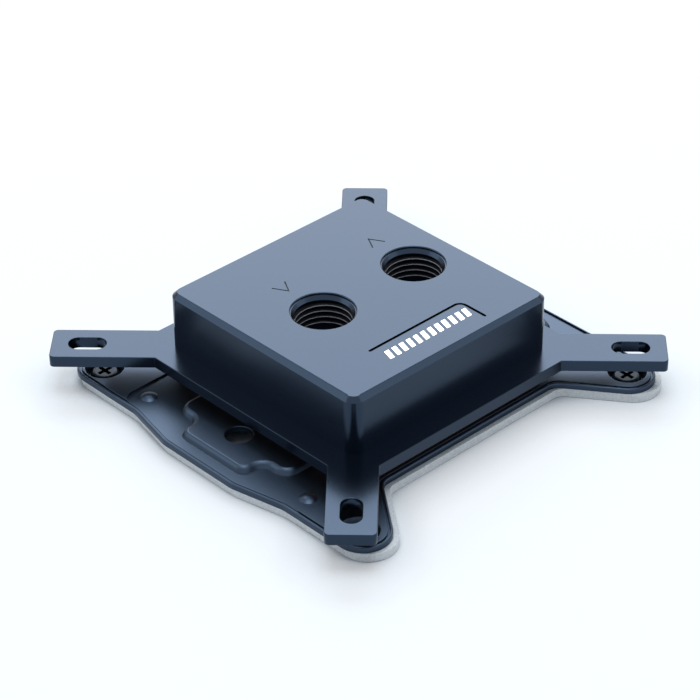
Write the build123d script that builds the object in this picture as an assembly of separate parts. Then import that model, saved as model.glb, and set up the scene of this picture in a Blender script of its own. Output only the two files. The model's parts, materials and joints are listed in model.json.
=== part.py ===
from build123d import *
import math
import os

# A liquid cooling block for a processor. It lies, with its bracket, on a loose
# pressed backplate and the backplate's insulating pad. Millimetres, Z up.
# Origin: on the surface it lies on, under the middle of the block.
# X runs from the inlet port to the outlet port, Y from the milled line to the
# flow marks.

# Screws and dished seats of the backplate
plate_screw_radius = 1.5
plate_screw_gap = 0.15
plate_screw_head_radius = 3.0
plate_screw_head_height = 1.3
cross_width = 0.75
cross_span = 3.2
cross_depth = 0.8
dish_head_gap = 0.2
dish_flare = 0.8
dish_depth = 2.1
cup_wall = 0.8
dish_floor_radius = plate_screw_head_radius + dish_head_gap
dish_mouth_radius = dish_floor_radius + dish_flare
cup_radius = dish_mouth_radius + cup_wall / 2

# Backplate sheet: where it lies under the block, and its outline
plate_place_x = 1.35
plate_place_y = -0.55
sheet_thickness = 1.2
screw_pitch = 75.0
lobe_margin = 1.2
lobe_lead = 0.5
lobe_length = 18.8
waist_inset = 7.6
ear_lead = 2.6
ear_foot_inset = 7.9
plate_ear_half_width = 10.0
waist_corner_radius = 3.0
ear_tip_radius = 6.0
ear_foot_radius = 8.0
lobe_radius = dish_mouth_radius + lobe_margin + lobe_lead
plate_half_length = screw_pitch / 2 + dish_mouth_radius + lobe_margin
plate_waist = screw_pitch / 2 - waist_inset
plate_waist_half_length = plate_half_length - lobe_length
plate_ear_reach = plate_half_length + ear_lead
plate_ear_foot = plate_waist - ear_foot_inset

# Backplate pressings
rim_width = 0.5
rim_groove_width = 0.45
rim_groove_depth = 0.4
floor_sink = 0.3
floor_inset = 2.9
floor_corner_share = 0.7
raise_height = 1.2
raise_slope = 30.0
raise_side_inset = 13.6
raise_end_inset = 3.3
raise_corner_radius = 3.4
raise_ear_length = 5.3
raise_ear_step = 6.6
raise_tip_share = 0.49
raise_hollow_share = 0.45
socket_hole_radius = 2.8
socket_hole_inset = 11.1
window_length = 38.0
window_width = 22.0
window_corner_radius = 3.0
pip_radius = 1.8
pip_height = 0.55
pip_inset = 3.5
floor_half_width = plate_waist - floor_inset
floor_corner_radius = floor_corner_share * (floor_half_width - plate_ear_foot)
raise_half_width = plate_waist - raise_side_inset
raise_ear_half_width = raise_half_width - raise_ear_step
pip_from_middle_x = screw_pitch / 2
pip_from_middle_y = floor_half_width - pip_inset

# Insulating pad
pad_thickness = 1.9
pad_margin = 0.25
pad_shift = 0.7
pad_cup_gap = 0.1
pad_opening_inset = 1.0

# Chamber under the cover
chamber_width = 32.0
chamber_corner_radius = 2.0
chamber_roof_gap = 3.0
chamber_roof_thickness = 0.9
gasket_width = 1.3
gasket_thickness = 1.0

# Cold plate and its fins
cold_plate_thickness = 2.8
fin_height = 2.5
fin_thickness = 0.5
fin_pitch = 1.0
fin_field_inset = 2.0
fin_length = chamber_width - 2 * fin_field_inset
fin_count = math.floor(fin_length / fin_pitch)

# Jet plate
jet_plate_thickness = 0.8
jet_plate_overlap = 0.2
jet_plate_gap = 0.3
jet_plate_corner_radius = 1.5
jet_slot_inset = 2.0
jet_slot_width = 2.0
jet_plate_length = fin_length + 2 * jet_plate_overlap
jet_slot_length = fin_length - 2 * jet_slot_inset

# Main seal, squeezed flat in its groove
seal_wall = 1.0
seal_width = 2.0
seal_height = 1.4
seal_groove_gap = 0.1
seal_corner_radius = 4.0
seal_half_width = chamber_width / 2 + seal_wall + seal_width / 2

# Countersunk screws of the base
base_screw_radius = 1.5
base_screw_gap = 0.02
base_screw_wall = 0.9
base_screw_length = 8.0
base_screw_hole_spare = 0.5
base_screw_head_radius = 2.8
base_screw_sink = 0.1
base_socket_width = 2.0
base_socket_depth = 1.1
base_screw_spread = seal_half_width + seal_width / 2 + base_screw_wall + base_screw_radius

# Cover
neck_wall = 1.1
neck_corner_radius = 2.2
cover_overhang = 3.0
cover_corner_radius = 2.7
cover_chamfer = 1.0
neck_width = 2 * (base_screw_spread + base_screw_radius + neck_wall)
cover_width = neck_width + 2 * cover_overhang

# Ports and the passages under them
port_radius = 6.58
port_depth = 8.0
port_lead_in = 0.15
inlet_x = -9.5
outlet_x = 15.5
passage_radius = 3.5
passage_margin = 0.2
collector_width = 1.5
inlet_room_left = gasket_width + collector_width - chamber_width / 2
inlet_passage_x = inlet_room_left + passage_radius + passage_margin
outlet_passage_x = chamber_width / 2 - passage_radius - passage_margin
inlet_room_half_width = 4.6
inlet_room_half_slot = 3.0
inlet_room_end_inset = 3.0
inlet_room_half_length = chamber_width / 2 - inlet_room_end_inset

# Bracket
bracket_thickness = 2.5
bracket_margin = 5.3
bracket_arm_width = 9.9
bracket_tip_radius = 1.0
bracket_tip_beyond_slot = 5.53
bracket_slot_width = 4.2
bracket_hole_pitch = 75.0
bracket_hole_pitch_play = 5.0
bracket_window_gap = 0.2
bracket_half_width = cover_width / 2 + bracket_margin
bracket_slot_near = bracket_hole_pitch / math.sqrt(2)
bracket_slot_far = (bracket_hole_pitch + bracket_hole_pitch_play) / math.sqrt(2)
bracket_arm_reach = bracket_slot_far + bracket_tip_beyond_slot

# Flow marks, engraved over each port
mark_y = 11.6
mark_width = 3.5
mark_height = 3.1
mark_line = 0.3
mark_depth = 0.2

# Milled line round the place of the print
line_left_x = -12.6
line_right_x = 12.1
line_end_inset = 3.6
line_drop = 6.8
line_corner_radius = 1.6
line_width = 0.65
line_depth = 0.45
line_end_y = line_end_inset - cover_width / 2
line_y = line_end_y + line_drop

# Levels, from the surface up
plate_under_z = pad_thickness
plate_top_z = plate_under_z + sheet_thickness
floor_z = plate_top_z - floor_sink
raise_top_z = floor_z + raise_height
cold_plate_top_z = raise_top_z + cold_plate_thickness
bracket_top_z = cold_plate_top_z + bracket_thickness
fin_top_z = cold_plate_top_z + fin_height
jet_plate_top_z = fin_top_z + jet_plate_thickness
gasket_top_z = jet_plate_top_z + gasket_thickness
chamber_roof_z = jet_plate_top_z + chamber_roof_gap
port_floor_z = chamber_roof_z + chamber_roof_thickness
cover_top_z = port_floor_z + port_depth
dish_floor_z = plate_top_z - dish_depth
cup_under_z = dish_floor_z - cup_wall


def rounded_square(width, corner_radius):
    return RectangleRounded(width, width, corner_radius)


def slab(face, low_z, high_z):
    return extrude(Pos(0, 0, low_z) * face, high_z - low_z)


def on_plate(shape):
    return Pos(plate_place_x, plate_place_y, 0) * shape


def plate_screw_points():
    half = screw_pitch / 2
    return [(-half, half), (half, half), (half, -half), (-half, -half)]


def base_screw_points():
    steps = (-base_screw_spread, 0, base_screw_spread)
    return [(x, y) for y in steps for x in steps if (x, y) != (0, 0)]


def lobe_corner():
    """The corner where a lobe's slanted side would meet the plate's long side."""
    across = plate_half_length - lobe_radius - plate_waist_half_length
    along = screw_pitch / 2 + lobe_lead - plate_waist
    slant = math.atan2(along, across) + math.asin(lobe_radius / math.hypot(across, along))
    rise = (plate_half_length - plate_waist_half_length) * math.tan(slant)
    return plate_half_length, plate_waist + rise


def plate_outline():
    """Outline of the backplate: four lobes, narrow waist and one rounded ear."""
    corner_x, corner_y = lobe_corner()
    half_turn = [
        (corner_x, corner_y, lobe_radius),
        (plate_waist_half_length, plate_waist, waist_corner_radius),
        (-plate_waist_half_length, plate_waist, waist_corner_radius),
        (-corner_x, corner_y, lobe_radius),
        (-plate_half_length, plate_ear_foot, ear_foot_radius),
        (-plate_ear_reach, plate_ear_half_width, ear_tip_radius),
    ]
    corners = half_turn + [(x, -y, r) for x, y, r in reversed(half_turn)]
    path = FilletPolyline(*[(x, y) for x, y, r in corners], radius=[r for x, y, r in corners], close=True)
    return make_face(path)


def raised_outline():
    """Outline of the raised middle, with a narrower ear into the plate's own ear."""
    left_tip = raise_end_inset - plate_ear_reach
    shoulder = left_tip + raise_ear_length
    tip_radius = raise_tip_share * raise_ear_length
    hollow_radius = raise_hollow_share * raise_ear_length
    top_half = [
        (plate_half_length - raise_end_inset, raise_half_width, raise_corner_radius),
        (shoulder, raise_half_width, raise_corner_radius),
        (shoulder, raise_ear_half_width, hollow_radius),
        (left_tip, raise_ear_half_width, tip_radius),
    ]
    corners = top_half + [(x, -y, r) for x, y, r in reversed(top_half)]
    path = FilletPolyline(*[(x, y) for x, y, r in corners], radius=[r for x, y, r in corners], close=True)
    return make_face(path)


def raised_form(face, low_z, high_z):
    """A flat-topped rise with sloping sides all round."""
    lean = (high_z - low_z) * math.tan(math.radians(raise_slope))
    return loft([Pos(0, 0, low_z) * face, Pos(0, 0, high_z) * offset(face, -lean)], ruled=True)


def dish_profile(points):
    return revolve(Plane.XZ * make_face(Polyline(*points, close=True)), Axis.Z)


def dish_cup():
    """The outside of a pressed seat, from the dish's floor up into the sheet."""
    return slab(Circle(cup_radius), cup_under_z, plate_under_z + sheet_thickness / 2)


def dish_hollow():
    slope = (dish_mouth_radius - dish_floor_radius) / dish_depth
    return dish_profile([
        (0, dish_floor_z),
        (dish_floor_radius, dish_floor_z),
        (dish_mouth_radius, plate_top_z),
        (dish_mouth_radius + slope, plate_top_z + 1),
        (0, plate_top_z + 1),
    ])


def pip():
    """A low round pip, the cap of a sphere."""
    sphere_radius = (pip_radius ** 2 + pip_height ** 2) / (2 * pip_height)
    ball = Pos(0, 0, floor_z + pip_height - sphere_radius) * Sphere(sphere_radius)
    return ball & Pos(0, 0, floor_z - sheet_thickness / 2) * Cylinder(
        sphere_radius, 2 * sphere_radius, align=(Align.CENTER, Align.CENTER, Align.MIN))


def sunk_floor():
    """What is pressed down between the lobes: it leaves a step across each lobe."""
    inside = offset(plate_outline(), -rim_width)
    band = Rectangle(4 * plate_ear_reach, 2 * floor_half_width)
    return fillet((inside & band).vertices().filter_by(
        lambda v: abs(abs(v.Y) - floor_half_width) < 0.01), floor_corner_radius)


def backplate():
    outline = plate_outline()
    plate = slab(outline, plate_under_z, plate_top_z)
    groove = offset(outline, -rim_width) - offset(outline, -rim_width - rim_groove_width)
    plate -= slab(groove, plate_top_z - rim_groove_depth, plate_top_z + 1)
    plate -= slab(sunk_floor(), floor_z, plate_top_z + 1)
    middle = raised_outline()
    plate += raised_form(middle, floor_z, raise_top_z)
    inner = offset(middle, -sheet_thickness * math.tan(math.radians(90 - raise_slope) / 2))
    plate -= raised_form(inner, plate_under_z, raise_top_z - sheet_thickness)
    for x, y in plate_screw_points():
        plate += Pos(x, y, 0) * dish_cup()
    for x, y in plate_screw_points():
        plate -= Pos(x, y, 0) * dish_hollow()
        plate -= Pos(x, y, 0) * Cylinder(plate_screw_radius + plate_screw_gap, 4 * dish_depth)
    for x in (-pip_from_middle_x, pip_from_middle_x):
        for y in (-pip_from_middle_y, pip_from_middle_y):
            plate += Pos(x, y, 0) * pip()
    plate -= slab(RectangleRounded(window_length, window_width, window_corner_radius), 0, cover_top_z)
    for x in (socket_hole_inset - plate_ear_reach, plate_half_length - socket_hole_inset):
        plate -= Pos(x, 0, raise_top_z) * Cylinder(socket_hole_radius, 4 * sheet_thickness)
    return on_plate(plate)


def insulating_pad():
    """A sheet cut like the plate, open under the plate's raised middle."""
    pad = Pos(pad_shift, -pad_shift, 0) * slab(offset(plate_outline(), pad_margin), 0, pad_thickness)
    for x, y in plate_screw_points():
        pad -= Pos(x, y, 0) * Cylinder(cup_radius + pad_cup_gap, 4 * pad_thickness)
    pad -= slab(offset(raised_outline(), -pad_opening_inset), 0, pad_thickness)
    return on_plate(pad)


def backplate_screw(x, y):
    """Pan head with a cross recess; its end is flush with the underside of the seat."""
    head_top = dish_floor_z + plate_screw_head_height
    screw = dish_profile([
        (0, cup_under_z),
        (plate_screw_radius, cup_under_z),
        (plate_screw_radius, dish_floor_z),
        (plate_screw_head_radius, dish_floor_z),
        (plate_screw_head_radius, head_top),
        (0, head_top),
    ])
    arm = Rectangle(cross_span, cross_width)
    cross = arm + Rot(0, 0, 90) * arm
    screw -= slab(cross, head_top - cross_depth, head_top)
    return on_plate(Pos(x, y, 0) * screw)


def fins():
    """Thin upright fins that run along X, side by side across Y."""
    first = -(fin_count - 1) * fin_pitch / 2
    root = cold_plate_thickness / 2
    one = Box(fin_length, fin_thickness, fin_height + root, align=(Align.CENTER, Align.CENTER, Align.MIN))
    return [Pos(0, first + i * fin_pitch, cold_plate_top_z - root) * one for i in range(fin_count)]


def cold_plate():
    base = slab(rounded_square(cover_width, cover_corner_radius), raise_top_z, cold_plate_top_z)
    base += fins()
    for x, y in base_screw_points():
        base -= Pos(x, y, 0) * screw_seat(base_screw_gap)
    return base


def screw_seat(gap):
    """A countersunk head's seat and its clearance hole, from the underside up."""
    head_z = raise_top_z + base_screw_sink
    neck_z = head_z + base_screw_head_radius - base_screw_radius
    radius = base_screw_radius + gap
    mouth_radius = radius + neck_z - raise_top_z
    return dish_profile([
        (0, raise_top_z),
        (mouth_radius, raise_top_z),
        (radius, neck_z),
        (radius, cold_plate_top_z + 1),
        (0, cold_plate_top_z + 1),
    ])


def base_screw(x, y):
    head_z = raise_top_z + base_screw_sink
    neck_z = head_z + base_screw_head_radius - base_screw_radius
    end_z = head_z + base_screw_length
    screw = dish_profile([
        (0, head_z),
        (base_screw_head_radius, head_z),
        (base_screw_radius, neck_z),
        (base_screw_radius, end_z),
        (0, end_z),
    ])
    socket = RegularPolygon(base_socket_width / 2, 6, major_radius=False)
    screw -= slab(socket, head_z, head_z + base_socket_depth)
    return Pos(x, y, 0) * screw


def bracket_outline():
    """A square with one arm out of each corner."""
    shape = Rectangle(2 * bracket_half_width, 2 * bracket_half_width)
    arm_length = 2 * bracket_arm_reach
    arms = Rectangle(arm_length, bracket_arm_width)
    arms = fillet(arms.vertices(), bracket_tip_radius)
    return shape + Rot(0, 0, 45) * arms + Rot(0, 0, -45) * arms


def bracket_slots():
    middle = (bracket_slot_near + bracket_slot_far) / 2
    slot = Pos(middle, 0, 0) * SlotCenterToCenter(bracket_slot_far - bracket_slot_near, bracket_slot_width)
    return [Rot(0, 0, 45 + 90 * i) * slot for i in range(4)]


def mounting_bracket():
    face = bracket_outline()
    window_width = neck_width + 2 * bracket_window_gap
    face -= rounded_square(window_width, neck_corner_radius + bracket_window_gap)
    for slot in bracket_slots():
        face -= slot
    return slab(face, cold_plate_top_z, bracket_top_z)


def port(x, passage_x):
    bore = Pos(x, 0, cover_top_z) * Cylinder(port_radius, 2 * port_depth)
    mouth = Pos(x, 0, cover_top_z - port_lead_in) * Cone(
        port_radius, port_radius + 2 * port_lead_in, 2 * port_lead_in,
        align=(Align.CENTER, Align.CENTER, Align.MIN))
    passage = Pos(passage_x, 0, chamber_roof_z) * Cylinder(
        passage_radius, 2 * chamber_roof_thickness + 1)
    return [bore, mouth, passage]


def inlet_room(margin):
    """Plan of the room over the jet slot, with an arm out to the inlet port."""
    arm_left = inlet_room_left - margin
    arm_right = inlet_room_half_slot + margin
    arm_width = 2 * (inlet_room_half_width + margin)
    arm = Pos((arm_left + arm_right) / 2, 0) * Rectangle(arm_right - arm_left, arm_width)
    head = Rectangle(2 * (inlet_room_half_slot + margin), 2 * (inlet_room_half_length + margin))
    return arm + head


def chamber():
    """Hollow under the cover: collector all round, inlet room walled off in it."""
    whole = rounded_square(chamber_width, chamber_corner_radius)
    wall = inlet_room(gasket_width) - inlet_room(0)
    return slab(whole, cold_plate_top_z, gasket_top_z) + slab(whole - wall, gasket_top_z, chamber_roof_z)


def milled_line():
    path = FilletPolyline(
        (line_left_x, line_y),
        (line_right_x, line_y),
        (line_right_x, line_end_y),
        radius=line_corner_radius,
    )
    ends = [Pos(*(path @ t)) * Circle(line_width / 2) for t in (0, 1)]
    return slab(trace(path, line_width) + ends, cover_top_z - line_depth, cover_top_z + 1)


def flow_mark(x, points_up):
    """A chevron of two thin strokes: down towards the inlet, up from the outlet."""
    tip = 0.5 if points_up else -0.5
    path = Polyline(
        (x - mark_width / 2, mark_y - tip * mark_height),
        (x, mark_y + tip * mark_height),
        (x + mark_width / 2, mark_y - tip * mark_height),
    )
    return slab(trace(path, mark_line), cover_top_z - mark_depth, cover_top_z + 1)


def seal_ring(half_width, width):
    middle = 2 * half_width
    outer = rounded_square(middle + width, seal_corner_radius + width / 2)
    return outer - rounded_square(middle - width, seal_corner_radius - width / 2)


def top_cover():
    body = slab(rounded_square(cover_width, cover_corner_radius), bracket_top_z, cover_top_z)
    body = chamfer(body.faces().sort_by(Axis.Z)[-1].edges(), cover_chamfer)
    body += slab(rounded_square(neck_width, neck_corner_radius), cold_plate_top_z, bracket_top_z)
    body -= chamber()
    groove_width = seal_width + 2 * seal_groove_gap
    body -= slab(seal_ring(seal_half_width, groove_width), cold_plate_top_z, cold_plate_top_z + seal_height)
    body -= port(inlet_x, inlet_passage_x)
    body -= port(outlet_x, outlet_passage_x)
    hole_end = raise_top_z + base_screw_sink + base_screw_length + base_screw_hole_spare
    for x, y in base_screw_points():
        body -= Pos(x, y, 0) * slab(Circle(base_screw_radius + base_screw_gap), raise_top_z, hole_end)
    body -= milled_line()
    body -= flow_mark(inlet_x, False)
    body -= flow_mark(outlet_x, True)
    return body


def jet_plate():
    width = chamber_width - 2 * jet_plate_gap
    face = RectangleRounded(jet_plate_length, width, jet_plate_corner_radius)
    face -= Rot(0, 0, 90) * SlotOverall(jet_slot_length, jet_slot_width)
    return slab(face, fin_top_z, jet_plate_top_z)


def inlet_gasket():
    return slab(inlet_room(gasket_width) - inlet_room(0), jet_plate_top_z, gasket_top_z)


def chamber_seal():
    return slab(seal_ring(seal_half_width, seal_width), cold_plate_top_z, cold_plate_top_z + seal_height)


def all_parts():
    parts = {
        "top_cover": top_cover(),
        "mounting_bracket": mounting_bracket(),
        "cold_plate": cold_plate(),
        "jet_plate": jet_plate(),
        "inlet_gasket": inlet_gasket(),
        "chamber_seal": chamber_seal(),
        "backplate": backplate(),
        "insulating_pad": insulating_pad(),
    }
    for i, (x, y) in enumerate(base_screw_points(), start=1):
        parts[f"base_screw_{i}"] = base_screw(x, y)
    for i, (x, y) in enumerate(plate_screw_points(), start=1):
        parts[f"backplate_screw_{i}"] = backplate_screw(x, y)
    return parts


os.makedirs("parts", exist_ok=True)
for name, shape in all_parts().items():
    export_step(shape, f"parts/{name}.step")
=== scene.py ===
# %% [markdown]
# # A water block for a processor
#
# The block cools a processor: coolant enters one threaded port, is pressed through the fins of a
# copper plate and leaves by the other port. A flat bracket holds it down. In the picture the
# block lies with its bracket on a loose pressed backplate, which has a milky pad under it.
#
# The shapes come from exact solids that were made first. This lesson loads them, gives them
# rounded edges and finishes, adds the port threads and the print, and lights the whole.

# %% Load the solids
import json
import math
import bmesh
import bpy
from mathutils import Matrix, Vector


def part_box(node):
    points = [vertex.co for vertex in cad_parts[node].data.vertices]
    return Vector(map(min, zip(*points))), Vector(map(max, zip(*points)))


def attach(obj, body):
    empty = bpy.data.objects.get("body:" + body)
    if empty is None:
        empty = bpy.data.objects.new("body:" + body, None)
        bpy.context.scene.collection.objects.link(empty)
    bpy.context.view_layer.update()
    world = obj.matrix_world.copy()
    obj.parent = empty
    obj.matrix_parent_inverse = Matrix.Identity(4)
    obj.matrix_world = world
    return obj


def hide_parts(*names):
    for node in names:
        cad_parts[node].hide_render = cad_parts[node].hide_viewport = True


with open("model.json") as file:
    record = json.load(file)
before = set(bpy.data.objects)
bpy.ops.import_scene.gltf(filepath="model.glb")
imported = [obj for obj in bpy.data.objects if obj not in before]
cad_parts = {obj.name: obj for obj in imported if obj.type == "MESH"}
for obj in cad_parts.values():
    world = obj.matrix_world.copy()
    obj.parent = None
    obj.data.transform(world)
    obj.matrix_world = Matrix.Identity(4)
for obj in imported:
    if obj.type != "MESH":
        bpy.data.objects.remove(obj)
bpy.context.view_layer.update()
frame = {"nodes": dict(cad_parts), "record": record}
nodes = frame["nodes"]
mm = 0.001

# %% [markdown]
# ## Where things are
#
# The rest of the script asks the solids for their places instead of repeating numbers. A node's
# box gives its lowest and highest corner. The tops are what this lesson needs, and half the
# block's width. The record that came with the solids lists the mounts, such as the two ports.

# %% Measure the solids
block_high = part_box("top_cover")[1]
block_half = block_high[0]
block_top = block_high[2]
bracket_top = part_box("mounting_bracket")[1][2]
plate_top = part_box("backplate")[1][2]
pad_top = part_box("insulating_pad")[1][2]
mounts = {mount["name"]: mount for mount in frame["record"]["mounts"]}
print("block top", round(block_top / mm, 2), "bracket top", round(bracket_top / mm, 2))

# %% [markdown]
# ## Finishes
#
# A finish here is a Principled shader with its colour, its metal share and its roughness, and
# a fine grain that varies the tone and tilts the surface a little. The grain is a noise on Object
# coordinates, in metres, so one grain is the same size on every piece. One helper builds such a
# finish, because every metal on the block differs from the others only in its values.


# %% A helper for grained finishes
def grained(name, colour, metal, rough, grain=9000.0, mottle=0.06, bump=0.02):
    """A finish with a fine grain. grain is in cells per metre, mottle is how much the colour varies."""
    mat = bpy.data.materials.new(name)
    mat.use_nodes = True
    tree = mat.node_tree
    shader = tree.nodes["Principled BSDF"]
    shader.inputs["Metallic"].default_value = metal
    shader.inputs["Roughness"].default_value = rough
    where = tree.nodes.new("ShaderNodeTexCoord")
    noise = tree.nodes.new("ShaderNodeTexNoise")
    noise.inputs["Scale"].default_value = grain
    noise.inputs["Detail"].default_value = 2.0
    tree.links.new(where.outputs["Object"], noise.inputs["Vector"])
    tone = tree.nodes.new("ShaderNodeMapRange")
    tone.inputs["From Min"].default_value = 0.3
    tone.inputs["From Max"].default_value = 0.7
    tone.inputs["To Min"].default_value = 1.0 - mottle
    tone.inputs["To Max"].default_value = 1.0 + mottle
    tree.links.new(noise.outputs["Fac"], tone.inputs["Value"])
    tint = tree.nodes.new("ShaderNodeVectorMath")
    tint.operation = "SCALE"
    tint.inputs[0].default_value = colour
    tree.links.new(tone.outputs["Result"], tint.inputs["Scale"])
    tree.links.new(tint.outputs["Vector"], shader.inputs["Base Color"])
    relief = tree.nodes.new("ShaderNodeBump")
    relief.inputs["Strength"].default_value = bump
    relief.inputs["Distance"].default_value = 0.00005
    tree.links.new(noise.outputs["Fac"], relief.inputs["Height"])
    tree.links.new(relief.outputs["Normal"], shader.inputs["Normal"])
    return mat


# %% [markdown]
# The block and the bracket are blasted and anodised. The dyed layer swallows nearly all light: it
# mirrors only some hundredths of what stands before it, and a little more of the blue than of the
# red. That is why the tops look grey where they mirror a bright soft box, and the sides nearly
# black. A shader that is mostly metal, with a nearly black bluish colour and a medium roughness,
# behaves the same way. The backplate is pressed steel with a duller and lighter coat of that
# kind, and the screws are plated darker still.

# %% The dark finishes
def black_coat(name, rough, colour=(0.026, 0.041, 0.066), metal=0.95, shine=0.5, **grain):
    """A black coat. shine is how much its part without metal mirrors, 0.5 as plain lacquer."""
    mat = grained(name, colour, metal, rough, **grain)
    mat.node_tree.nodes["Principled BSDF"].inputs["Specular IOR Level"].default_value = shine
    return mat


block_finish = black_coat("block anodised", 0.23)
bracket_finish = black_coat("bracket anodised", 0.22)
plate_finish = black_coat("backplate coat", 0.35, (0.037, 0.057, 0.090),
                          grain=5000.0, mottle=0.03, bump=0.01)
# The milled line's finish is painted shade: black without sheen for the shade in the narrow groove.
groove_painted_shade = black_coat("painted shade in the milled line", 0.9, (0.002, 0.003, 0.006),
                           metal=0.0, shine=0.05)
mark_finish = black_coat("engraved marks", 0.8, (0.055, 0.080, 0.110), metal=0.0)
screw_finish = black_coat("screw plating", 0.30, (0.004, 0.009, 0.016))
print("dark finishes:", block_finish.name, bracket_finish.name, plate_finish.name, screw_finish.name)

# %% [markdown]
# The pieces inside are hidden, but a turned or cut-open model shows them, so they get their own
# finishes too: bare copper, stainless steel and black rubber. The copper is darker than bare copper:
# painted shade, because where a little of it shows, under the bracket, it lies in shade.

# %% The finishes inside
# The copper's colour is darkened as painted shade for where it shows under the bracket.
copper_with_painted_shade = grained("machined copper", (0.52, 0.29, 0.20), 1.0, 0.30)
stainless_finish = grained("stainless steel", (0.60, 0.60, 0.58), 1.0, 0.30)
rubber_finish = grained("seal rubber", (0.02, 0.02, 0.021), 0.0, 0.65)
print("inner finishes made")

# %% [markdown]
# The pad is a milky sheet, cut with a blade. Light goes a short way into it and comes out
# softened. A little subsurface does that. Its cut edge is speckled, which the noise gives.

# %% The milky sheet
sheet_finish = grained("milky sheet", (0.70, 0.78, 0.86), 0.0, 0.45,
                       grain=2500.0, mottle=0.10, bump=0.12)
sheet_shader = sheet_finish.node_tree.nodes["Principled BSDF"]
sheet_shader.inputs["Subsurface Weight"].default_value = 0.35
sheet_shader.inputs["Subsurface Radius"].default_value = (0.001, 0.0011, 0.0011)
sheet_shader.inputs["Subsurface Scale"].default_value = 1.0
print("milky sheet made")

# %% [markdown]
# ## Rounded edges
#
# No real edge is perfectly sharp: each carries a thin highlight, and that highlight is most of
# what tells the eye that a thing is metal. The solids have sharp edges, so each shown piece
# becomes a copy whose triangles are joined at their corners, with a Bevel modifier. Edges that
# the press or the cutter rounded more get a larger share of the bevel's width, as a weight.
#
# A helper describes each edge by its level, by how far the walls next to it drop, and by whether
# one of them leans. Those three tell a pressed shoulder from the rim of a hole without naming
# places. An edge is level when its ends are within a hundredth of a millimetre, and two heights
# within a twentieth count as the same. A wall leans when the upward part of its normal lies
# between the two bounds below.

# %% A helper that describes an edge
level_within = 0.01
near = 0.05
least_lean, most_lean = 0.1, 0.9


def edge_facts(edge):
    """Level in mm, or None where the edge climbs; deepest drop of its faces in mm; any leaning face."""
    heights = [v.co.z / mm for v in edge.verts]
    level = heights[0] if abs(heights[0] - heights[1]) < level_within else None
    drop = 0.0
    for face in edge.link_faces:
        face_heights = [v.co.z / mm for v in face.verts]
        drop = max(drop, max(face_heights) - min(face_heights))
    leaning = any(least_lean < abs(face.normal.z) < most_lean for face in edge.link_faces)
    return level, drop, leaning


# %% [markdown]
# The solids come as loose triangles, so the copy's corners are joined and level triangles made one
# face again. An edge counts as sharp where its faces turn by more than 25 degrees. Wide faces are
# shaded flat and only the narrow facets of curves smooth, so that a wide face stays even.

# %% A helper for rounded copies
join_distance = 1e-7
level_angle = math.radians(0.5)
curve_angle = math.radians(8)
sharp_angle = math.radians(25)


def rounded_copy(node, name, width, segments, weigh, finish):
    """A joined copy of a solid with a bevel. weigh(edge) gives each sharp edge's share of its width."""
    mesh = nodes[node].data.copy()
    mesh.name = name
    bm = bmesh.new()
    bm.from_mesh(mesh)
    bmesh.ops.remove_doubles(bm, verts=bm.verts, dist=join_distance)
    bmesh.ops.dissolve_limit(bm, angle_limit=level_angle, verts=bm.verts, edges=bm.edges)
    shares = []
    for edge in bm.edges:
        sharp = len(edge.link_faces) == 2 and edge.calc_face_angle(0.0) > sharp_angle
        shares.append(weigh(edge) if sharp else 0.0)
        edge.smooth = not sharp or shares[-1] > 0
    for face in bm.faces:
        turns = [edge.calc_face_angle(0.0) for edge in face.edges]
        face.smooth = any(curve_angle < turn < sharp_angle for turn in turns)
    bm.to_mesh(mesh)
    bm.free()
    weights = mesh.attributes.new("bevel_weight_edge", "FLOAT", "EDGE")
    weights.data.foreach_set("value", shares)
    piece = bpy.data.objects.new(name, mesh)
    bpy.context.scene.collection.objects.link(piece)
    bevel = piece.modifiers.new("rounded edges", "BEVEL")
    bevel.width = width * mm
    bevel.segments = segments
    bevel.limit_method = "WEIGHT"
    bevel.use_clamp_overlap = False
    bevel.loop_slide = False
    mesh.materials.clear()
    mesh.materials.append(finish)
    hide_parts(node)
    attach(piece, "root")
    print(name, "has", sum(1 for s in shares if s > 0), "rounded edges")
    return piece


# %% [markdown]
# ### The block
#
# The edges of the block's chamfer are broken by the blasting, by a fifth of a millimetre, and the
# mouths of the ports by half of that. The engraved marks and the milled line are cut last and
# stay crisp. Under the bracket's level nothing shows, so nothing is rounded there.

# %% Round the block
def block_edge(edge):
    level, drop, leaning = edge_facts(edge)
    if level is None or level < bracket_top / mm or not leaning:
        return 0.0
    chamfer = 0.9 < drop < 2
    port_mouth = drop < 0.2
    return 1.0 if chamfer else 0.5 if port_mouth else 0.0


block = rounded_copy("top_cover", "block", width=0.2, segments=3,
                     weigh=block_edge, finish=block_finish)

# %% [markdown]
# The milled line is painted black without sheen, which no light comes back from: painted shade for
# the narrow groove. The flow marks behind the ports show a duller grey. Their faces lie just under
# the top, so they are found by height and by side, and take a second and a third finish.

# %% Paint shade into the milled line, and finish the marks
# The milled line takes the painted shade, the marks their duller grey.
block.data.materials.append(groove_painted_shade)
block.data.materials.append(mark_finish)
deepest = block_top / mm - 0.6
highest = block_top / mm - 0.02
inside_chamfer = 25
line_before = -15
marks_behind = 8
for face in block.data.polygons:
    x, y, z = face.center / mm
    engraved = deepest < z < highest and max(abs(x), abs(y)) < inside_chamfer
    in_front = y < line_before
    behind = y > marks_behind
    if engraved and (in_front or behind):
        face.material_index = 1 if in_front else 2
indices = [face.material_index for face in block.data.polygons]
print("faces in the milled line", indices.count(1), "and in the marks", indices.count(2))

# %% [markdown]
# ### The bracket
#
# The bracket is cut from sheet and blasted as well: one small rounding all round. The part under
# the block stays sharp, because nobody sees it.

# %% Round the bracket
def bracket_edge(edge):
    reach = block_half - 0.1 * mm
    under_block = all(max(abs(v.co.x), abs(v.co.y)) < reach for v in edge.verts)
    return 0.0 if under_block else 1.0


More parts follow.
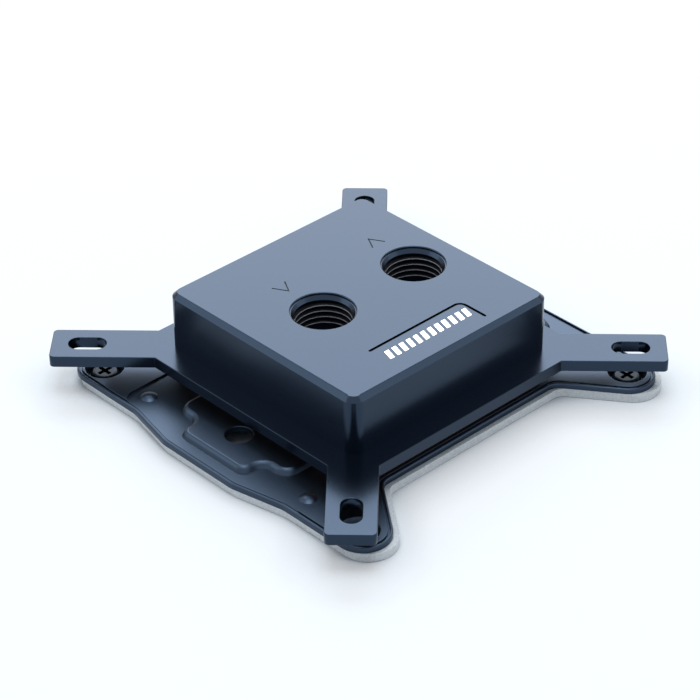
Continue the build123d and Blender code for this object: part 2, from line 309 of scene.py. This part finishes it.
bracket = rounded_copy("mounting_bracket", "bracket", width=0.12, segments=2,
                       weigh=bracket_edge, finish=bracket_finish)

# %% [markdown]
# ### The backplate
#
# A press leaves large roundings: the rim's outer edge, the shoulder of the raised middle and the
# steps across the lobes. Punched edges, such as the hole's, are rounded less, and where a flank
# meets the floor the press leaves a crisp line. The shares below are parts of one wide bevel.

# %% Round the backplate
sheet = 1.2
sheet_top = pad_top / mm + sheet
raised_top = plate_top / mm


def plate_edge(edge):
    level, drop, leaning = edge_facts(edge)
    if level is None:
        return 0.0
    if level > raised_top - near:
        shoulder, punched = 0.8, 0.3
        return shoulder if leaning else punched
    if abs(level - sheet_top) < near:
        rim, groove = 0.5, 0.13
        return rim if drop > sheet - near else groove
    return 0.0


plate = rounded_copy("backplate", "pressed_plate", width=0.75, segments=4,
                     weigh=plate_edge, finish=plate_finish)

# %% [markdown]
# ### The pad
#
# The pad is cut from sheet with a blade, so its edges are only slightly rounded.

# %% Round the pad
pad = rounded_copy("insulating_pad", "milky_pad", width=0.12, segments=2,
                   weigh=lambda edge: 1.0, finish=sheet_finish)

# %% [markdown]
# ### The screws of the backplate
#
# A pan head is domed. A wide bevel on the head's top rim makes the dome, and a narrow one breaks
# the edges of the cross.

# %% Round the screws
head_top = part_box("backplate_screw_1")[1][2] / mm
head_height = 1.3


def head_edge(edge):
    level, drop, leaning = edge_facts(edge)
    if level is None or level < head_top - near:
        return 0.0
    dome, cross = 1.0, 0.08
    return dome if drop > head_height - near else cross


for i in range(1, 5):
    screw = rounded_copy(f"backplate_screw_{i}", f"pan_screw_{i}", width=0.9, segments=4,
                         weigh=head_edge, finish=screw_finish)

# %% [markdown]
# ## Finishes of the inner solids
#
# The solids that stay as they are only take their finish.

# %% Dress the inner solids
inner = {"cold_plate": copper_with_painted_shade, "jet_plate": stainless_finish,
         "inlet_gasket": rubber_finish, "chamber_seal": rubber_finish}
inner.update({f"base_screw_{i}": stainless_finish for i in range(1, 9)})
for name, finish in inner.items():
    nodes[name].data.materials.clear()
    nodes[name].data.materials.append(finish)
print("dressed", len(inner), "inner solids")

# %% [markdown]
# ## The port threads
#
# Each port has a G1/4 pipe thread: 13.157 mm across its roots, 11.445 mm across its crests and
# 1.337 mm from turn to turn. A thread is one ridge that climbs the wall of the bore. A spiral
# curve with the ridge's section swept along it gives that, and Geometry Nodes keep pitch, radius
# and turns as inputs. The ridge's foot is set a few hundredths of a millimetre into the wall, so
# that no gap shows. A second, closed ring of the same metal is the countersunk lead-in.

# %% Sizes of the thread
bore_radius = mounts["inlet_port"]["dims"]["r_mm"]
thread_pitch = 1.337
thread_root = bore_radius + 0.04
thread_crest = 5.73
port_places = {port: mounts[f"{port}_port"]["pos_m"][0] / mm for port in ("inlet", "outlet")}
lead_in_low = block_top / mm - 1.55
thread_turns = 4.6
print("a ridge of", thread_turns, "turns,", round(thread_turns * thread_pitch, 2), "mm deep")


# %% [markdown]
# The section of the ridge is a low trapezium: almost a pitch wide where it stands on the wall, and
# narrow at its crest. Curve to Mesh lays a section's X along the curve's normal, and a Z Up normal
# keeps that pointing at the middle of the bore all the way round. Two helpers come first: one adds
# a node and sets its values, the other adds an input to the tree and tells its identifier.

# %% Helpers for the tree
def node_in(tree, kind, **values):
    made = tree.nodes.new(kind)
    for key, value in values.items():
        setattr(made, key, value)
    return made


def float_input(tree, name, value):
    socket = tree.interface.new_socket(name, in_out="INPUT", socket_type="NodeSocketFloat")
    socket.default_value = value
    return socket.identifier


# %% [markdown]
# The tree itself has three parts: the spiral, the section with its four corners, and the sweep of
# the one along the other. The corners are shares of the ridge's depth and of the pitch.

# %% A tree for the ridge
ridge_sizes = {"Pitch": thread_pitch * mm, "Root radius": thread_root * mm,
               "Crest radius": thread_crest * mm, "Turns": thread_turns}
ridge_foot = 0.46
ridge_land = 0.05


def thread_tree(finish):
    """A tree that makes the ridge, and the identifier of each of its inputs by name."""
    tree = bpy.data.node_groups.new("thread ridge", "GeometryNodeTree")
    ids = {name: float_input(tree, name, value) for name, value in ridge_sizes.items()}
    tree.interface.new_socket("Geometry", in_out="OUTPUT", socket_type="NodeSocketGeometry")
    given = node_in(tree, "NodeGroupInput")
    result = node_in(tree, "NodeGroupOutput")
    link = tree.links.new

    height = node_in(tree, "ShaderNodeMath", operation="MULTIPLY")
    link(given.outputs["Pitch"], height.inputs[0])
    link(given.outputs["Turns"], height.inputs[1])
    spiral = node_in(tree, "GeometryNodeCurveSpiral")
    spiral.inputs["Resolution"].default_value = 72
    link(given.outputs["Turns"], spiral.inputs["Rotations"])
    link(given.outputs["Root radius"], spiral.inputs["Start Radius"])
    link(given.outputs["Root radius"], spiral.inputs["End Radius"])
    link(height.outputs[0], spiral.inputs["Height"])
    upright = node_in(tree, "GeometryNodeSetCurveNormal")
    upright.mode = "Z_UP"
    link(spiral.outputs["Curve"], upright.inputs["Curve"])

    section = node_in(tree, "GeometryNodeCurvePrimitiveQuadrilateral", mode="POINTS")
    depth = node_in(tree, "ShaderNodeMath", operation="SUBTRACT")
    link(given.outputs["Root radius"], depth.inputs[0])
    link(given.outputs["Crest radius"], depth.inputs[1])
    corners = ((0.0, -ridge_foot), (0.0, ridge_foot), (1.0, ridge_land), (1.0, -ridge_land))
    for number, (across, along) in enumerate(corners, start=1):
        deep = node_in(tree, "ShaderNodeMath", operation="MULTIPLY")
        deep.inputs[1].default_value = across
        link(depth.outputs[0], deep.inputs[0])
        wide = node_in(tree, "ShaderNodeMath", operation="MULTIPLY")
        wide.inputs[1].default_value = along
        link(given.outputs["Pitch"], wide.inputs[0])
        corner = node_in(tree, "ShaderNodeCombineXYZ")
        link(deep.outputs[0], corner.inputs["X"])
        link(wide.outputs[0], corner.inputs["Y"])
        link(corner.outputs[0], section.inputs[f"Point {number}"])

    sweep = node_in(tree, "GeometryNodeCurveToMesh")
    sweep.inputs["Fill Caps"].default_value = True
    link(upright.outputs["Curve"], sweep.inputs["Curve"])
    link(section.outputs["Curve"], sweep.inputs["Profile Curve"])
    plain = node_in(tree, "GeometryNodeRealizeInstances")
    link(sweep.outputs["Mesh"], plain.inputs[0])
    dress = node_in(tree, "GeometryNodeSetMaterial")
    dress.inputs["Material"].default_value = finish
    link(plain.outputs[0], dress.inputs["Geometry"])
    link(dress.outputs["Geometry"], result.inputs["Geometry"])
    return tree, ids


# %% [markdown]
# The thread's finish is a darker and duller kind of the block's: painted shade for the deep bore.
# Its crests carry a painted highlight, a lighter colour where light catches them. The crests are
# where a point is nearest to the middle of the bore, so the finish measures that distance from the
# object's coordinates. The painted highlight starts a little outside the crest's radius and is full
# close to it.

# %% A finish with painted shade and painted highlights on the crests
# The crests' lighter colour is a painted highlight.
crest_highlight_colour = (0.50, 0.53, 0.62, 1.0)
highlight_starts = thread_crest + 0.06
highlight_full = thread_crest + 0.01


def thread_painted_light_finish(name, x):
    # A black darker and duller than the block's, as painted shade in the bore.
    mat = black_coat(name, 0.4, (0.001, 0.003, 0.007), metal=0.0, shine=0.12)
    tree = mat.node_tree
    shader = tree.nodes["Principled BSDF"]
    where = next(n for n in tree.nodes if n.bl_idname == "ShaderNodeTexCoord")
    shift = tree.nodes.new("ShaderNodeMapping")
    shift.inputs["Location"].default_value = (-x * mm, 0.0, 0.0)
    flat = tree.nodes.new("ShaderNodeVectorMath")
    flat.operation = "MULTIPLY"
    flat.inputs[1].default_value = (1.0, 1.0, 0.0)
    far = tree.nodes.new("ShaderNodeVectorMath")
    far.operation = "LENGTH"
    crest = tree.nodes.new("ShaderNodeMapRange")
    crest.inputs["From Min"].default_value = highlight_starts * mm
    crest.inputs["From Max"].default_value = highlight_full * mm
    mix = tree.nodes.new("ShaderNodeMix")
    mix.data_type = "RGBA"
    mix.inputs["B"].default_value = crest_highlight_colour
    tree.links.new(where.outputs["Object"], shift.inputs["Vector"])
    tree.links.new(shift.outputs["Vector"], flat.inputs[0])
    tree.links.new(flat.outputs["Vector"], far.inputs[0])
    tree.links.new(far.outputs["Value"], crest.inputs["Value"])
    tree.links.new(crest.outputs["Result"], mix.inputs["Factor"])
    old = shader.inputs["Base Color"].links[0].from_socket
    tree.links.new(old, mix.inputs["A"])
    tree.links.new(mix.outputs["Result"], shader.inputs["Base Color"])
    return mat


# %% [markdown]
# A modifier's result lives only as long as the modifier. So the ridge that the tree makes is
# taken as a plain mesh, its doubled corners are joined and its faces turned outwards.

# %% Helpers for finished pieces
def as_piece(obj, name):
    """The evaluated shape of obj as a plain mesh object at the origin."""
    depsgraph = bpy.context.evaluated_depsgraph_get()
    mesh = bpy.data.meshes.new_from_object(obj.evaluated_get(depsgraph), depsgraph=depsgraph)
    mesh.name = name
    mesh.transform(obj.matrix_world)
    piece = bpy.data.objects.new(name, mesh)
    bpy.context.scene.collection.objects.link(piece)
    bpy.data.objects.remove(obj)
    return piece


def outward(piece):
    """Joins the corners, turns the faces outwards, keeps sharp edges sharp, counts open edges."""
    bm = bmesh.new()
    bm.from_mesh(piece.data)
    bmesh.ops.remove_doubles(bm, verts=bm.verts, dist=join_distance)
    bmesh.ops.recalc_face_normals(bm, faces=bm.faces)
    if bm.calc_volume(signed=True) < 0:
        bmesh.ops.reverse_faces(bm, faces=bm.faces)
    open_edges = sum(1 for e in bm.edges if len(e.link_faces) != 2)
    for face in bm.faces:
        face.smooth = True
    for edge in bm.edges:
        edge.smooth = edge.calc_face_angle(0.0) < sharp_angle
    bm.to_mesh(piece.data)
    bm.free()
    return open_edges


# %% [markdown]
# Now the ridge is laid in both ports. It ends where the lead-in starts, so its own start lies as
# many pitches deeper as it has turns.

# %% Cut the threads
def cut_thread(port, x):
    holder = bpy.data.objects.new(f"{port} ridge", bpy.data.meshes.new(f"{port} ridge"))
    bpy.context.scene.collection.objects.link(holder)
    tree, ids = thread_tree(thread_painted_light_finish(f"{port} thread with painted shade and highlight", x))
    modifier = holder.modifiers.new("ridge", "NODES")
    modifier.node_group = tree
    for name, value in ridge_sizes.items():
        modifier[ids[name]] = value
    start = lead_in_low - thread_turns * thread_pitch
    holder.matrix_world = Matrix.Translation((x * mm, 0, start * mm))
    bpy.context.view_layer.update()
    piece = as_piece(holder, f"{port}_thread")
    open_edges = outward(piece)
    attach(piece, "root")
    reach = [math.hypot(v.co.x - x * mm, v.co.y) / mm for v in piece.data.vertices]
    heights = [v.co.z / mm for v in piece.data.vertices]
    print(port, "thread radius", round(min(reach), 2), "to", round(max(reach), 2),
          "height", round(min(heights), 2), "to", round(max(heights), 2), "open edges", open_edges)


for port, x in port_places.items():
    cut_thread(port, x)

# %% [markdown]
# ### The lead-in
#
# Above the first turn the bore is countersunk, so that a fitting finds the thread. It shows as a
# smooth sloping band under the rim. A ring with a wedge for its section, turned round the bore's
# axis, is all it needs.


# %% Turn the lead-in rings
def turned_ring(name, x, section, steps, finish):
    """A closed ring: the section's (radius, height) points turned round the vertical axis at x."""
    mesh = bpy.data.meshes.new(name)
    corners = len(section)
    verts = []
    faces = []
    for i in range(steps):
        turn = 2 * math.pi * i / steps
        here = i * corners
        there = (i + 1) % steps * corners
        for j, (radius, height) in enumerate(section):
            after = (j + 1) % corners
            verts.append(((x + radius * math.cos(turn)) * mm, radius * math.sin(turn) * mm, height * mm))
            faces.append((here + j, there + j, there + after, here + after))
    mesh.from_pydata(verts, [], faces)
    mesh.materials.append(finish)
    ring = bpy.data.objects.new(name, mesh)
    bpy.context.scene.collection.objects.link(ring)
    open_edges = outward(ring)
    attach(ring, "root")
    print(name, "open edges", open_edges)


lead_finish = black_coat("port lead-in", 0.24)
top = block_top / mm
cone = [(6.42, top - 0.48), (5.84, top - 1.20)]
foot = [(5.95, top - 1.45), (thread_root, top - 1.70)]
band = [(thread_root, top - 0.42), *cone, *foot]
ring_steps = 96
for port, x in port_places.items():
    turned_ring(f"{port}_lead_in", x, band, ring_steps, lead_finish)

# %% [markdown]
# ## The print
#
# White print stands in front of the milled line. Here it is a plain row of slanted dashes, as
# high and as wide as the print on such a block. Ink has no thickness to speak of, so it is painted
# by the block's finish instead of being a piece that stands proud of the top.
#
# The finish works out a place along the row from the point's x, less its lean. Its fraction says
# where in a dash and its gap the point lies, and comparisons say whether it is ink. The sizes are
# in millimetres, and the lean is how far a dash goes sideways for each millimetre up.

# %% Sizes of the print
dash_count = 12
dash_pitch = 1.92
dash_width = 1.05
dash_height = 2.6
dash_lean = 0.3
print_low_x = -11.3
print_middle_y = -20.1
ink_colour = (0.86, 0.87, 0.88, 1.0)
print("a row of", dash_count, "dashes,", round(dash_count * dash_pitch, 1), "mm long")


# %% [markdown]
# A small helper inside the function adds one step of arithmetic, so that the sum reads from top
# to bottom like a sum on paper.

# %% Paint the dashes
def paint_dashes(mat):
    """Mixes ink into the base colour of mat where a dash of the row is."""
    tree = mat.node_tree

    def step(operation, first, second=0.0, third=0.0):
        node = tree.nodes.new("ShaderNodeMath")
        node.operation = operation
        for socket, given in zip(node.inputs, (first, second, third)):
            if isinstance(given, float):
                socket.default_value = given
            else:
                tree.links.new(given, socket)
        return node.outputs[0]

    where = next(n for n in tree.nodes if n.bl_idname == "ShaderNodeTexCoord")
    parts = tree.nodes.new("ShaderNodeSeparateXYZ")
    tree.links.new(where.outputs["Object"], parts.inputs[0])
    x, y, z = parts.outputs
    up_row = step("SUBTRACT", y, print_middle_y * mm)
    upright = step("MULTIPLY_ADD", up_row, -dash_lean, x)
    along = step("DIVIDE", step("SUBTRACT", upright, print_low_x * mm), dash_pitch * mm)
    in_dash = step("LESS_THAN", step("FRACT", along), dash_width / dash_pitch)
    off_middle = step("ABSOLUTE", step("SUBTRACT", along, dash_count / 2))
    in_row = step("LESS_THAN", off_middle, dash_count / 2)
    in_height = step("LESS_THAN", step("ABSOLUTE", up_row), dash_height / 2 * mm)
    on_top = step("GREATER_THAN", z, block_top - 0.02 * mm)
    along_row = step("MULTIPLY", in_dash, in_row)
    inked = step("MULTIPLY", along_row, step("MULTIPLY", in_height, on_top))
    mix = tree.nodes.new("ShaderNodeMix")
    mix.data_type = "RGBA"
    mix.inputs["B"].default_value = ink_colour
    base = tree.nodes["Principled BSDF"].inputs["Base Color"]
    tree.links.new(base.links[0].from_socket, mix.inputs["A"])
    tree.links.new(inked, mix.inputs["Factor"])
    tree.links.new(mix.outputs["Result"], base)


paint_dashes(block_finish)
print("painted the print on", block_finish.name)

# %% [markdown]
# ## Floor, light and camera
#
# The block lies on a white table in a white room. A large soft box hangs behind it, at the height
# where a level surface mirrors it into the camera, so all tops turn an even grey. The upright
# faces mirror the table and each other, so they stay dark.
#
# The table is one large square, a hair below the pad so that the two don't share a surface.

# %% The table
table_half = 3.0
table_drop = 0.05 * mm
table_corners = [(-table_half, -table_half, 0), (table_half, -table_half, 0),
                 (table_half, table_half, 0), (-table_half, table_half, 0)]
floor_mesh = bpy.data.meshes.new("table")
floor_mesh.from_pydata(table_corners, [], [(0, 1, 2, 3)])
floor = bpy.data.objects.new("table", floor_mesh)
floor.location.z = -table_drop
bpy.context.scene.collection.objects.link(floor)
table_finish = bpy.data.materials.new("white table")
table_finish.use_nodes = True
floor_mesh.materials.append(table_finish)
print("table", 2 * table_half, "m across")

# %% [markdown]
# On a plain white table under soft boxes the shadow comes out darker than in the picture. So the
# table is seen in one way and sheds light in another. A Light Path node tells the two apart: it
# knows whether a ray comes from the camera, from a mirror, through glass, or from none of them.
# The same switch serves the room later.

# %% A switch between seen and shed
def seen_rays(tree):
    """1 for rays of the camera, of mirrors and of glass, 0 for the light that things shed."""
    ray = tree.nodes.new("ShaderNodeLightPath")
    camera_or_glass = tree.nodes.new("ShaderNodeMath")
    camera_or_glass.operation = "MAXIMUM"
    any_of_them = tree.nodes.new("ShaderNodeMath")
    any_of_them.operation = "MAXIMUM"
    tree.links.new(ray.outputs["Is Camera Ray"], camera_or_glass.inputs[0])
    tree.links.new(ray.outputs["Is Transmission Ray"], camera_or_glass.inputs[1])
    tree.links.new(camera_or_glass.outputs[0], any_of_them.inputs[0])
    tree.links.new(ray.outputs["Is Glossy Ray"], any_of_them.inputs[1])
    return any_of_them.outputs[0]


# %% [markdown]
# What the table sheds on the block comes from its plain white.

# %% What the table sheds
table_white = (0.93, 0.93, 0.93, 1.0)
table_tree = table_finish.node_tree
table_shader = table_tree.nodes["Principled BSDF"]
table_shader.inputs["Base Color"].default_value = table_white
table_shader.inputs["Roughness"].default_value = 0.7
table_shader.inputs["Specular IOR Level"].default_value = 0.0
print("the table sheds", table_white[0], "of its light")

# %% [markdown]
# What the camera and mirrors see of the table is two parts in three its own glow, which keeps the
# shadow of the block as light as in the picture, and slightly blue where it is lit. An Ambient
# Occlusion node says how much open room a point has round it, within about a centimetre. The glow
# fades with it close to the block, and is gone where hardly any is left, as in the plate's hole.

# %% What is seen of the table
own_glow = 0.66
glow_reach = 0.013
closed_in, half_open = 0.30, 0.45
lit_colour = (0.31, 0.38, 0.45, 1.0)
lit = table_tree.nodes.new("ShaderNodeBsdfDiffuse")
lit.inputs["Color"].default_value = lit_colour
open_room = table_tree.nodes.new("ShaderNodeAmbientOcclusion")
open_room.inputs["Distance"].default_value = glow_reach
open_room.samples = 8
glow_left = table_tree.nodes.new("ShaderNodeMapRange")
glow_left.inputs["From Min"].default_value = closed_in
glow_left.inputs["From Max"].default_value = half_open
glow_left.inputs["To Max"].default_value = own_glow
faded = table_tree.nodes.new("ShaderNodeMath")
faded.operation = "MULTIPLY"
own = table_tree.nodes.new("ShaderNodeEmission")
table_tree.links.new(open_room.outputs["AO"], glow_left.inputs["Value"])
table_tree.links.new(glow_left.outputs["Result"], faded.inputs[0])
table_tree.links.new(open_room.outputs["AO"], faded.inputs[1])
table_tree.links.new(faded.outputs[0], own.inputs["Strength"])
print("the table glows", own_glow, "and fades within", glow_reach, "m of the block")

# %% [markdown]
# The two parts are added, and the switch picks them for the rays that see and the plain white for
# the rest.

# %% Join the two looks of the table
both = table_tree.nodes.new("ShaderNodeAddShader")
pick = table_tree.nodes.new("ShaderNodeMixShader")
table_end = table_tree.nodes["Material Output"]
table_tree.links.new(lit.outputs["BSDF"], both.inputs[0])
table_tree.links.new(own.outputs["Emission"], both.inputs[1])
table_tree.links.new(seen_rays(table_tree), pick.inputs["Fac"])
table_tree.links.new(table_shader.outputs["BSDF"], pick.inputs[1])
table_tree.links.new(both.outputs["Shader"], pick.inputs[2])
table_tree.links.new(pick.outputs["Shader"], table_end.inputs["Surface"])
print("table seen and lit apart")

# %% [markdown]
# The room is white where the camera or a mirror-like surface sees it. It sheds less light than it
# shows, because the soft boxes give the rest: together they light the table about as white as it is.

# %% The room
room_light = 0.29
room_seen = 1.0
world = bpy.data.worlds.new("room")
bpy.context.scene.world = world
world.use_nodes = True
room = world.node_tree
sky = room.nodes["Background"]
sky.inputs["Color"].default_value = (1.0, 1.0, 1.0, 1.0)
strength = room.nodes.new("ShaderNodeMapRange")
strength.inputs["To Min"].default_value = room_light
strength.inputs["To Max"].default_value = room_seen
room.links.new(seen_rays(room), strength.inputs["Value"])
room.links.new(strength.outputs["Result"], sky.inputs["Strength"])
print("room sheds", room_light, "and shows", room_seen)


# %% [markdown]
# Four soft boxes of plain white stand round the table, each a metre off and turned to the block.
# The one behind makes the tops grey. The one overhead shows in the rounded shoulders of the
# backplate and in the screws. Those at the left and the right show in the block's chamfers.

# %% The soft boxes
box_distance = 1.0


def soft_box(name, aim, side, glow):
    """A square box in direction aim. glow is how bright its face is, whatever its size."""
    light = bpy.data.lights.new(name, "AREA")
    light.size = side
    light.energy = glow * math.pi * side * side
    lamp = bpy.data.objects.new(name, light)
    lamp.location = Vector(aim).normalized() * box_distance
    lamp.rotation_euler = (-lamp.location).to_track_quat("-Z", "Y").to_euler()
    bpy.context.scene.collection.objects.link(lamp)
    print(name, "glows", glow)


soft_box("back box", (0.57, 0.60, 0.58), 0.75, 3.7)
soft_box("overhead box", (-0.05, -0.05, 1.0), 0.5, 4.2)
soft_box("left box", (-0.60, 0.60, 0.58), 0.6, 1.2)
soft_box("right box", (0.60, -0.58, 0.60), 0.6, 0.8)

# %% [markdown]
# The camera stands where the picture was taken from: its place, turn and lens were solved from
# the corners of the block and the bracket in the picture. The lens sees about fourteen degrees. The
# place is counted from the bracket's top, in millimetres, and the turns are in radians.

# %% The camera
eye = Vector((-318.23, -336.55, 311.86 + bracket_top / mm)) * mm
yaw, pitch, roll = -0.753756, 0.594206, -0.009862
focal_pixels = 2769.92
picture_pixels = 700
sensor = 36
level_forward = Vector((-math.sin(yaw), math.cos(yaw), 0))
forward = level_forward * math.cos(pitch) - Vector((0, 0, math.sin(pitch)))
level_right = Vector((math.cos(yaw), math.sin(yaw), 0))
level_up = level_right.cross(forward)
right = math.cos(roll) * level_right + math.sin(roll) * level_up
up = -math.sin(roll) * level_right + math.cos(roll) * level_up
camera = bpy.data.objects.new("camera", bpy.data.cameras.new("camera"))
bpy.context.scene.collection.objects.link(camera)
camera.data.lens = focal_pixels / picture_pixels * sensor
camera.data.sensor_width = sensor
turned = Matrix((right, up, -forward)).transposed().to_4x4()
camera.matrix_world = Matrix.Translation(eye) @ turned
bpy.context.scene.camera = camera
bpy.context.scene.view_settings.view_transform = "Standard"
print("camera at", [round(c, 3) for c in eye])
